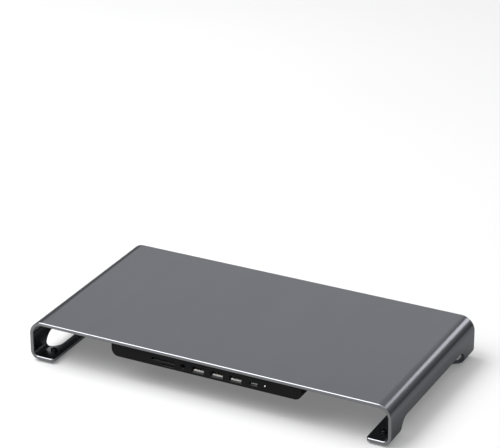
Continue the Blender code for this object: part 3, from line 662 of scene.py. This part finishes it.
def foot_pad():
    """A rubber disc with rounded rims, ring grooves in its tread and a pocket for the insert's flange."""
    top = FOOT_HEIGHT - GAP
    grooves, half, depth = (0.0018, 0.0031, 0.0044), 0.00022, 0.00025
    lower_rim, upper_rim = 0.0004, 0.0002
    profile = [(0, 0)]
    for groove in grooves:
        profile += [(groove - 2 * half, 0), (groove - half, depth),
                    (groove + half, depth), (groove + 2 * half, 0)]
    profile += arc((FOOT_RADIUS - lower_rim, lower_rim), lower_rim, -90, 0, 5)
    profile += arc((FOOT_RADIUS - upper_rim, top - upper_rim), upper_rim, 0, 90, 3)
    profile += [(POCKET_RADIUS, top), (POCKET_RADIUS, top - POCKET_DEPTH), (0, top - POCKET_DEPTH)]
    return turned(profile, 64)


def build_feet():
    """Rubber pads and the button-head screws that hold them; the brass inserts stay as designed."""
    pad = mesh_of("foot_pad", foot_pad(), RUBBER)
    for ending, middle in corners_of("foot_pad"):
        piece(f"pad_{ending}", pad, [f"foot_pad_{ending}"], location=(middle.x, middle.y, 0))
    build_screws("foot_screw", "foot_bolt", FOOT_SCREW, BLACK_STEEL)


def build_screws(family, name, shape, finish, upside_down=False):
    """One family of four screws, each as long as its CAD node; upside_down ones have the head below."""
    head, radius, pitch, recess = shape
    low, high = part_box(f"{family}_front_left")
    length = high.z - low.z - head[1]
    bm = hex_recess(threaded(radius, length, pitch, head), recess, head[1], head[1] * 0.65)
    if upside_down:
        rotated(bm, 180, "X")
    mesh = mesh_of(name, bm, finish)
    seat = low.z + head[1] if upside_down else high.z - head[1]
    for ending, middle in corners_of(family):
        piece(f"{name}_{ending}", mesh, [f"{family}_{ending}"], location=(middle.x, middle.y, seat))


# ---------------------------------------------------------------- hub casing


def dock_outline(inset, bottom, top, steps=14):
    """Front view of the hub: square at the top, round at the lower corners."""
    half = DOCK_WIDTH / 2 - inset
    radius = DOCK_CORNER_RADIUS - inset
    left = arc((-half + radius, bottom + radius), radius, 180, 270, steps)
    right = arc((half - radius, bottom + radius), radius, 270, 360, steps)
    return [(-half, top)] + left + right + [(half, top)]


def casing_block():
    """The hub's outside, its front and rear rims rounded over."""
    rings = []
    radius = DOCK_EDGE_RADIUS
    for turn in range(0, 91, 15):
        angle = math.radians(turn)
        inset = radius * (1 - math.sin(angle))
        y = DOCK_FRONT + radius * (1 - math.cos(angle))
        rings.append([(x, y, z) for x, z in dock_outline(inset, DOCK_BOTTOM + inset, DOCK_TOP - inset)])
    middle = 2 * (DOCK_FRONT + DOCK_DEPTH / 2)
    rings += [[(x, middle - y, z) for x, y, z in ring] for ring in reversed(rings)]
    return drawn(rings)


def flared(outline_at, rear=False):
    """A cutter for an opening in the front or rear wall, widened at the face; outline_at takes the growth."""
    face, inward = (DOCK_REAR, -1) if rear else (DOCK_FRONT, 1)
    stages = ((2 * MOUTH_FLARE, -MOUTH_FLARE), (0, MOUTH_FLARE), (0, 2 * WALL))
    return drawn([[(x, face + inward * y, z) for x, z in outline_at(grow)] for grow, y in stages])


def rectangle_mouth(size, middle, radius, rear=False):
    """A cutter for a mouth with round corners."""
    width, height = size
    return flared(lambda grow: rounded_rectangle(width + 2 * grow, height + 2 * grow, radius + grow,
                                                 (middle.x, middle.z), 8), rear)


def hdmi_outline(width, height, centre=(0, 0)):
    """A video socket's outline: its lower corners are cut off."""
    cut_x, cut_z = 0.0022, 0.0020
    x, z = width / 2, height / 2
    points = [(x, z), (-x, z), (-x, -z + cut_z), (-x + cut_x, -z), (x - cut_x, -z), (x, -z + cut_z)]
    return [(centre[0] + px, centre[1] + pz) for px, pz in points]


def port_mouths():
    """Cutters for every connector that shows in the hub's walls."""
    def around(size, node, rear=False, radius=0.0009):
        return rectangle_mouth((size[0] + 2 * GAP, size[1] + 2 * GAP), shell_middle(node, size), radius, rear)

    stadium = USB_C_SHELL[1] / 2 + GAP
    cutters = [around(USB_A_SHELL, f"usb_a_port_{number}") for number in (1, 2, 3)]
    cutters.append(around(USB_C_SHELL, "usb_c_port", radius=stadium))
    cutters += [around(USB_C_SHELL, f"{name}_usb_c_port", True, stadium) for name in ("host", "power")]
    for number in (1, 2):
        middle = middle_of(f"hdmi_port_{number}")
        cutters.append(flared(lambda grow, m=middle: hdmi_outline(
            HDMI_SHELL[0] + 2 * (GAP + grow), HDMI_SHELL[1] + 2 * (GAP + grow), (m.x, m.z)), True))
    cutters.append(rectangle_mouth(SD_SLOT, middle_of("sd_socket"), 0.0005))
    cutters.append(rectangle_mouth(MICROSD_SLOT, middle_of("microsd_socket"), 0.0004))
    nose = 2 * (JACK_NOSE_RADIUS + GAP)
    cutters.append(rectangle_mouth((nose, nose), jack_middle(), nose / 2))
    light = 2 * (LIGHT_RADIUS + GAP)
    cutters.append(rectangle_mouth((light, light), middle_of("light_pipe"), light / 2))
    return cutters


def shell_middle(node, size):
    """The middle of a connector's mouth; a saddle on the node's top doesn't count."""
    low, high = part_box(node)
    return Vector(((low.x + high.x) / 2, low.y, low.z + size[1] / 2))


def jack_middle():
    """The middle of the headphone jack's nose, which hangs at the jack's lower edge."""
    low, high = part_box("audio_jack")
    return Vector(((low.x + high.x) / 2, low.y, low.z + JACK_NOSE_RADIUS))


def build_housing():
    """The hub's lower shell: floor, walls, screw bosses, drilled holes and port mouths."""
    floor_top = DOCK_BOTTOM + FLOOR
    cavity = prism(dock_outline(WALL, floor_top, DOCK_TOP + WALL), DOCK_DEPTH - 2 * WALL)
    bm = combined(casing_block(), moved(cavity, y=DOCK_FRONT + WALL))
    cover_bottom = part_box("dock_cover")[0].z
    board_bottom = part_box("main_pcb")[0].z
    stud_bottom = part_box("deck_stud_front_left")[0].z
    root = DOCK_BOTTOM + FLOOR / 2
    studs, board_screws = corners_of("dock_screw"), corners_of("pcb_screw")
    bosses = [shaft(BOSS_RADIUS, root, cover_bottom - GAP, (p.x, p.y)) for _, p in studs]
    bosses += [shaft(BOARD_BOSS_RADIUS, root, board_bottom - GAP, (p.x, p.y), 32) for _, p in board_screws]
    bm = combined(bm, joined(*bosses), "UNION")
    bore, depth = COUNTERBORE
    bevel = 0.0003
    ledge, seat_floor = DOCK_BOTTOM + depth, stud_bottom - GAP
    profile = [(0, DOCK_BOTTOM - bevel), (bore + 2 * bevel, DOCK_BOTTOM - bevel), (bore, DOCK_BOTTOM + bevel),
               (bore, ledge), (SCREW_HOLE_RADIUS, ledge), (SCREW_HOLE_RADIUS, seat_floor),
               (STUD_SEAT[0], seat_floor), (STUD_SEAT[0], DOCK_TOP), (0, DOCK_TOP)]
    drills = [moved(turned(profile), p.x, p.y) for _, p in studs]
    drills += [shaft(BOARD_HOLE_RADIUS, floor_top + GAP, DOCK_TOP, (p.x, p.y), 32) for _, p in board_screws]
    bm = combined(bm, joined(*drills))
    bm = combined(bm, joined(*port_mouths()))
    piece("housing", mesh_of("housing", bm, PLASTIC), ["dock_housing"])


# ---------------------------------------------------------------- connectors


def cup(outline_at, depth):
    """A drawn metal shell, mouth at y = 0 towards -Y: outline_at(inset) gives its (x, z) outline."""
    lip = SHELL_WALL / 2
    stages = ((SHELL_WALL, depth - SHELL_WALL), (SHELL_WALL, lip), (0.6 * SHELL_WALL, 0.2 * lip),
              (0.4 * SHELL_WALL, 0), (0, lip), (0, depth))
    return drawn([[(x, y, z) for x, z in outline_at(inset)] for inset, y in stages])


def rectangle_cup(size, radius, steps=8):
    """A cup with round corners."""
    width, height, depth = size
    return cup(lambda inset: rounded_rectangle(width - 2 * inset, height - 2 * inset,
                                               max(radius - inset, 0.0002), steps=steps), depth)


def spring_fingers(size, places, width=0.0018):
    """Leaf springs that press on a plug, on the roof and the floor of a shell."""
    roof = size[1] / 2 - SHELL_WALL
    start, length, bulge, bite, thickness = 0.0012, 0.0065, 0.00042, 0.00003, 0.00012
    leaves = []
    for x in places:
        for up in (1, -1):
            path = [(start + length * t, up * (roof - bulge * math.sin(math.pi * t) ** 1.5 + bite))
                    for t in [i / 12 for i in range(13)]]
            leaf = strip(path if up < 0 else path[::-1], thickness, width)
            leaves.append(moved(leaf, x))
    return leaves


def contacts(places, width, start, length, level, thickness=0.00012):
    """A row of flat contacts, their middles at the heights given by level."""
    size, bevel = (width, length, thickness), thickness * 0.3
    return [block(size, (x, start + length / 2, level), bevel, 1) for x in places]


def row(count, pitch):
    """Evenly spaced places about 0."""
    return [(i - (count - 1) / 2) * pitch for i in range(count)]


def place_at(node, size, rear=False):
    """Where a shell's mouth is, and its turn about Z."""
    low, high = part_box(node)
    y = high.y if rear else low.y
    return ((low.x + high.x) / 2, y, low.z + size[1] / 2), 180 if rear else 0


def build_usb_a():
    """Three USB-A ports, each with spring fingers, a tongue and its nine contacts."""
    body = rectangle_cup(USB_A_SHELL, 0.0007)
    fingers = spring_fingers(USB_A_SHELL, (-0.0032, 0.0032))
    shell_mesh = mesh_of("usb_a_shell", joined(body, *fingers), NICKEL_DARKENED_AS_SHADE)
    low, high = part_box("usb_a_tongue_1")
    location, _ = place_at("usb_a_port_1", USB_A_SHELL)
    start, end = low.y - location[1], high.y - location[1]
    top, bottom = high.z - location[2], low.z - location[2]
    size, middle = (high.x - low.x, end - start, top - bottom), (0, (start + end) / 2, (top + bottom) / 2)
    tongue = block(size, middle, 0.0002, 3)
    back_row, front_row = row(4, 0.00235), row(5, 0.0019)
    groove_size, groove_middle = (0.0013, 0.0060, 0.0003), start + 0.0042
    grooves = [block(groove_size, (x, groove_middle, top), 0.00005, 1) for x in back_row]
    tongue_mesh = mesh_of("usb_a_tongue", combined(tongue, joined(*grooves)), TONGUE)
    level = top - 0.00002
    pins = contacts(back_row, width=0.0010, start=start + 0.0014, length=0.0055, level=level - 0.0001)
    pins += contacts(front_row, width=0.0007, start=start + 0.00025, length=0.0008, level=level)
    pin_mesh = mesh_of("usb_a_contacts", joined(*pins), GOLD)
    for number in (1, 2, 3):
        location, _ = place_at(f"usb_a_port_{number}", USB_A_SHELL)
        piece(f"usb_a_shell_{number}", shell_mesh, [f"usb_a_port_{number}"], location=location)
        piece(f"usb_a_tongue_body_{number}", tongue_mesh, [f"usb_a_tongue_{number}"],
              location=location)
        piece(f"usb_a_contacts_{number}", pin_mesh, location=location)


def build_usb_c():
    """A USB-C port in front and two at the rear, with contacts on both faces of the tongue."""
    radius = USB_C_SHELL[1] / 2 - 0.0001
    _, saddle_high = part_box("usb_c_port")
    location, _ = place_at("usb_c_port", USB_C_SHELL)
    saddle_bottom = USB_C_SHELL[1] / 2 - SHELL_WALL / 2
    saddle_top = saddle_high.z - location[2]
    width, _, depth = USB_C_SHELL
    saddle = block((width * 0.7, depth * 0.6, saddle_top - saddle_bottom),
                   (0, depth * 0.6, (saddle_top + saddle_bottom) / 2))
    shell = combined(rectangle_cup(USB_C_SHELL, radius, 12), saddle, "UNION")
    shell_mesh = mesh_of("usb_c_shell", shell, NICKEL_DARKENED_AS_SHADE)
    low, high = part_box("usb_c_tongue")
    start, end = low.y - location[1], high.y - location[1]
    height = high.z - low.z
    tongue = block((high.x - low.x, end - start, height), (0, (start + end) / 2, 0), 0.0001, 3)
    tongue_mesh = mesh_of("usb_c_tongue", tongue, TONGUE)
    pins = []
    for level in (height / 2, -height / 2):
        pins += contacts(row(12, 0.0005), width=0.00026, start=start + 0.0003, length=0.0022,
                         level=level, thickness=0.00006)
    pin_mesh = mesh_of("usb_c_contacts", joined(*pins), GOLD)
    for name, rear in (("usb_c", False), ("host_usb_c", True), ("power_usb_c", True)):
        location, turn = place_at(f"{name}_port", USB_C_SHELL, rear)
        piece(f"{name}_shell", shell_mesh, [f"{name}_port"], location=location, turn=turn)
        piece(f"{name}_tongue_body", tongue_mesh, [f"{name}_tongue"], location=location,
              turn=turn)
        piece(f"{name}_contacts", pin_mesh, location=location, turn=turn)


def build_hdmi():
    """Two video outputs at the rear, their shells with the usual cut-off lower corners."""
    width, height, depth = HDMI_SHELL
    body = cup(lambda inset: hdmi_outline(width - 2 * inset, height - 2 * inset), depth)
    fingers = spring_fingers(HDMI_SHELL, (-0.0028, 0.0028), 0.0015)
    shell_mesh = mesh_of("hdmi_shell", joined(body, *fingers), NICKEL_DARKENED_AS_SHADE)
    location, _ = place_at("hdmi_port_1", HDMI_SHELL, True)
    low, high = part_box("hdmi_tongue_1")
    start, end = location[1] - high.y, location[1] - low.y
    thick = high.z - low.z
    tongue = block((high.x - low.x, end - start, thick), (0, (start + end) / 2, 0), 0.00015, 3)
    tongue_mesh = mesh_of("hdmi_tongue", tongue, CHIP)
    pins = []
    for count, level in ((10, thick / 2), (9, -thick / 2)):
        pins += contacts(row(count, 0.0010), width=0.00045, start=start + 0.0006, length=0.0045,
                         level=level, thickness=0.00008)
    pin_mesh = mesh_of("hdmi_contacts", joined(*pins), GOLD)
    for number in (1, 2):
        location, turn = place_at(f"hdmi_port_{number}", HDMI_SHELL, True)
        piece(f"hdmi_shell_{number}", shell_mesh, [f"hdmi_port_{number}"],
              location=location, turn=turn)
        piece(f"hdmi_tongue_body_{number}", tongue_mesh, [f"hdmi_tongue_{number}"],
              location=location, turn=turn)
        piece(f"hdmi_contacts_{number}", pin_mesh, location=location, turn=turn)


def build_card_sockets():
    """Card sockets with lipped shells and sprung contacts."""
    for name, count, pitch in (("sd", 9, 0.0025), ("microsd", 8, 0.0011)):
        low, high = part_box(f"{name}_socket")
        size = (high.x - low.x, high.z - low.z, high.y - low.y)
        location = ((low.x + high.x) / 2, low.y, (low.z + high.z) / 2)
        piece(f"{name}_shell", mesh_of(f"{name}_shell", rectangle_cup(size, 0.0004), NICKEL_DARKENED_AS_SHADE),
              [f"{name}_socket"], location=location)
        thickness, clearance, rise = 0.0001, 0.00003, size[1] * 0.14
        floor = -size[1] / 2 + SHELL_WALL + clearance
        path = [(size[2] * (0.42 + 0.22 * t), floor + rise * math.sin(math.pi * t * 0.75))
                for t in [i / 8 for i in range(9)]]
        leaves = [moved(strip(path, thickness, pitch * 0.4), x - pitch * 0.3) for x in row(count, pitch)]
        mesh = mesh_of(f"{name}_contacts", joined(*leaves), GOLD)
        piece(f"{name}_contacts", mesh, location=location)


def build_audio_jack():
    """The headphone jack, with a rounded nose and a plated sleeve in its bore."""
    low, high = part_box("audio_jack")
    middle = jack_middle()
    nose_length = DOCK_FRONT + WALL + GAP - low.y
    dip, bevel, lip = 0.0001, 0.0001, 0.0003
    body = block((high.x - low.x, high.y - low.y - nose_length, high.z - middle.z + dip),
                 (middle.x, (low.y + nose_length + high.y) / 2, (high.z + middle.z - dip) / 2), bevel)
    profile = [(0, 0)] + arc((JACK_NOSE_RADIUS - lip, lip), lip, -90, 0, 6)
    profile += [(JACK_NOSE_RADIUS, 2 * nose_length), (0, 2 * nose_length)]
    bore_end = high.y - low.y - 0.001
    bore = turned([(0, -lip), (JACK_BORE_RADIUS + 2 * lip, -lip), (JACK_BORE_RADIUS, lip),
                   (JACK_BORE_RADIUS, bore_end), (0, bore_end)])
    ahead = Vector((middle.x, low.y, middle.z))
    nose = moved(rotated(turned(profile), -90, "X"), *ahead)
    jack = combined(combined(body, nose, "UNION"), moved(rotated(bore, -90, "X"), *ahead))
    piece("headphone_jack", mesh_of("headphone_jack", jack, PLASTIC), ["audio_jack"])
    outer, inner = JACK_BORE_RADIUS - 0.00003, JACK_BORE_RADIUS - 0.00016
    sleeve_start, sleeve_end, cutter_end = 0.0006, 0.0046, 0.0052
    sleeve = combined(shaft(outer, sleeve_start, sleeve_end), shaft(inner, 0, cutter_end))
    mesh = mesh_of("jack_sleeve", moved(rotated(sleeve, -90, "X"), *ahead), NICKEL_DARKENED_AS_SHADE)
    piece("jack_sleeve", mesh)


def build_light():
    """The status light's pipe, with a low domed end."""
    low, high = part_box("light_pipe")
    length, dome = high.y - low.y, 0.00025
    profile = [(LIGHT_RADIUS * math.sin(math.radians(t)), dome * (1 - math.cos(math.radians(t))))
               for t in range(0, 91, 15)]
    profile += [(LIGHT_RADIUS, length), (0, length)]
    middle = (low + high) / 2
    bm = moved(rotated(turned(profile, 32), -90, "X"), middle.x, low.y, middle.z)
    piece("status_light", mesh_of("status_light", bm, LIGHT_PIPE), ["light_pipe"])


# ---------------------------------------------------------------- studio


FLOOR_RADIUS = 9
FLOOR_GLOW = 0.19
FLOOR_BOUNCE = 0.17
BOUNCE_GLOW = 0.05
HORIZON = 0.10
ZENITH = 0.3
# The sky's grey by the sine of the height above the horizon
SKY = ((0.12, 0.10), (0.30, 0.21), (0.66, 0.30), (0.78, 1.2), (0.90, 1.2), (0.97, 0.4))
# Bearing and elevation in degrees, distance, size and radiance
SOFTBOXES = (("key_light", -134, 56, 2.2, (1.8, 1.8), 3.6),
             ("top_light", -95, 60, 2.6, (1.6, 1.6), 5.2),
             ("back_left_panel", -20, 24, 2.6, (1.7, 1.0), 0.29),
             ("back_strip", 22, 26, 2.4, (0.50, 0.70), 1.7))

# The camera as solved from the stand's straight edges in the photo; the angles are in degrees
CAMERA_PLACE = (0.9110, -1.7697, 1.0582)
CAMERA_YAW = 27.3056
CAMERA_PITCH = 24.5186
CAMERA_ROLL = -0.2764
CAMERA_LENS = 159.03
CAMERA_SENSOR = 36
CAMERA_SHIFT = 0.0009
CAMERA_REACH = 50


def build_floor():
    """A pale floor, seen from above only, so that views from below still show the underside.

    The camera sees it pale and slightly glowing. Rays that leave the object meet a darker floor, so
    that its reflections in the metal stay dark.
    """
    made = material("studio_floor", (0.54, 0.54, 0.54), 0.9, Emission_Color=(1, 1, 1, 1),
                    Emission_Strength=FLOOR_GLOW)
    made.cycles.emission_sampling = "NONE"
    wire(made, blended(made, noise(made, 1.5, 2), (0.53, 0.53, 0.53), (0.55, 0.55, 0.55)), "Base Color")
    nodes, links = made.node_tree.nodes, made.node_tree.links
    geometry = nodes.new("ShaderNodeNewGeometry")
    clear = nodes.new("ShaderNodeBsdfTransparent")
    grey = nodes.new("ShaderNodeBsdfPrincipled")
    grey.inputs["Base Color"].default_value = (FLOOR_BOUNCE, FLOOR_BOUNCE, FLOOR_BOUNCE, 1)
    grey.inputs["Roughness"].default_value = 1.0
    grey.inputs["Specular IOR Level"].default_value = 0.0
    grey.inputs["Emission Color"].default_value = (1, 1, 1, 1)
    grey.inputs["Emission Strength"].default_value = BOUNCE_GLOW
    light_path = nodes.new("ShaderNodeLightPath")
    seen = nodes.new("ShaderNodeMixShader")
    either = nodes.new("ShaderNodeMixShader")
    links.new(light_path.outputs["Is Camera Ray"], seen.inputs["Fac"])
    links.new(grey.outputs["BSDF"], seen.inputs[1])
    links.new(nodes["Principled BSDF"].outputs["BSDF"], seen.inputs[2])
    links.new(geometry.outputs["Backfacing"], either.inputs["Fac"])
    links.new(seen.outputs["Shader"], either.inputs[1])
    links.new(clear.outputs["BSDF"], either.inputs[2])
    links.new(either.outputs["Shader"], nodes["Material Output"].inputs["Surface"])
    bm = bmesh.new()
    bmesh.ops.create_circle(bm, cap_ends=True, segments=96, radius=FLOOR_RADIUS)
    mesh = bpy.data.meshes.new("studio_floor")
    bm.to_mesh(mesh)
    bm.free()
    mesh.materials.append(made)
    linked_object("studio_floor", mesh)


def softbox(name, bearing, elevation, distance, size, radiance):
    """A rectangular light that faces the object; bearing is clockwise from +Y, in degrees."""
    light = bpy.data.lights.new(name, "AREA")
    light.shape = "RECTANGLE"
    light.size, light.size_y = size
    light.energy = radiance * math.pi * size[0] * size[1]
    obj = linked_object(name, light)
    b, e = math.radians(bearing), math.radians(elevation)
    away = Vector((math.sin(b) * math.cos(e), math.cos(b) * math.cos(e), math.sin(e)))
    obj.location = away * distance
    obj.rotation_euler = away.to_track_quat("Z", "Y").to_euler()
    obj.visible_camera = False


def build_lights():
    """A sky that is brightest in a ring high up, two lights on the left, and two panels at the back."""
    world = bpy.data.worlds.new("studio")
    bpy.context.scene.world = world
    world.use_nodes = True
    nodes, links = world.node_tree.nodes, world.node_tree.links
    coordinates = nodes.new("ShaderNodeTexCoord")
    split = nodes.new("ShaderNodeSeparateXYZ")
    ramp = nodes.new("ShaderNodeValToRGB")
    links.new(coordinates.outputs["Generated"], split.inputs["Vector"])
    links.new(split.outputs["Z"], ramp.inputs["Fac"])
    links.new(ramp.outputs["Color"], nodes["Background"].inputs["Color"])
    stops = ramp.color_ramp.elements
    for sine, grey in SKY:
        stops.new(sine).color = (grey, grey, grey * 1.02, 1)
    stops[0].color = (HORIZON, HORIZON, HORIZON, 1)
    stops[-1].color = (ZENITH, ZENITH, ZENITH, 1)
    for light in SOFTBOXES:
        softbox(*light)


def build_camera():
    """The camera stands to the right in front and looks down at the riser."""
    yaw, pitch, roll = math.radians(CAMERA_YAW), math.radians(CAMERA_PITCH), math.radians(CAMERA_ROLL)
    ahead = Vector((-math.sin(yaw) * math.cos(pitch), math.cos(yaw) * math.cos(pitch), -math.sin(pitch)))
    right = Vector((math.cos(yaw), math.sin(yaw), 0))
    above = right.cross(ahead)
    across = math.cos(roll) * right + math.sin(roll) * above
    upward = math.cos(roll) * above - math.sin(roll) * right
    camera = linked_object("camera", bpy.data.cameras.new("camera"))
    camera.data.lens = CAMERA_LENS
    camera.data.sensor_width = CAMERA_SENSOR
    camera.data.clip_end = CAMERA_REACH
    camera.data.shift_x = CAMERA_SHIFT
    turn = Matrix((across, upward, -ahead)).transposed()
    camera.matrix_world = Matrix.Translation(CAMERA_PLACE) @ turn.to_4x4()
    bpy.context.scene.camera = camera
    bpy.context.scene.view_settings.view_transform = "Standard"


def refinish():
    """Better materials for the CAD nodes that stay, by the slot names of the record."""
    finishes = {"anodised_aluminium": ALUMINIUM, "hub_plastic": PLASTIC, "foot_rubber": RUBBER,
                "zinc_steel": ZINC, "black_steel": BLACK_STEEL, "brass": BRASS, "port_shell": NICKEL_DARKENED_AS_SHADE,
                "tongue_plastic": TONGUE, "circuit_board": BOARD, "chip_epoxy": CHIP,
                "thermal_pad": THERMAL, "light_pipe": LIGHT_PIPE}
    for part in frame["record"]["subparts"]:
        for slot in frame["nodes"][part["node"]].material_slots:
            slot.material = finishes[part["material_slot"]]


refinish()
build_riser()
build_feet()
build_screws("dock_screw", "dock_bolt", DOCK_SCREW, ZINC, upside_down=True)
build_screws("pcb_screw", "board_bolt", BOARD_SCREW, ZINC)
build_housing()
build_usb_a()
build_usb_c()
build_hdmi()
build_card_sockets()
build_audio_jack()
build_light()
build_floor()
build_lights()
build_camera()
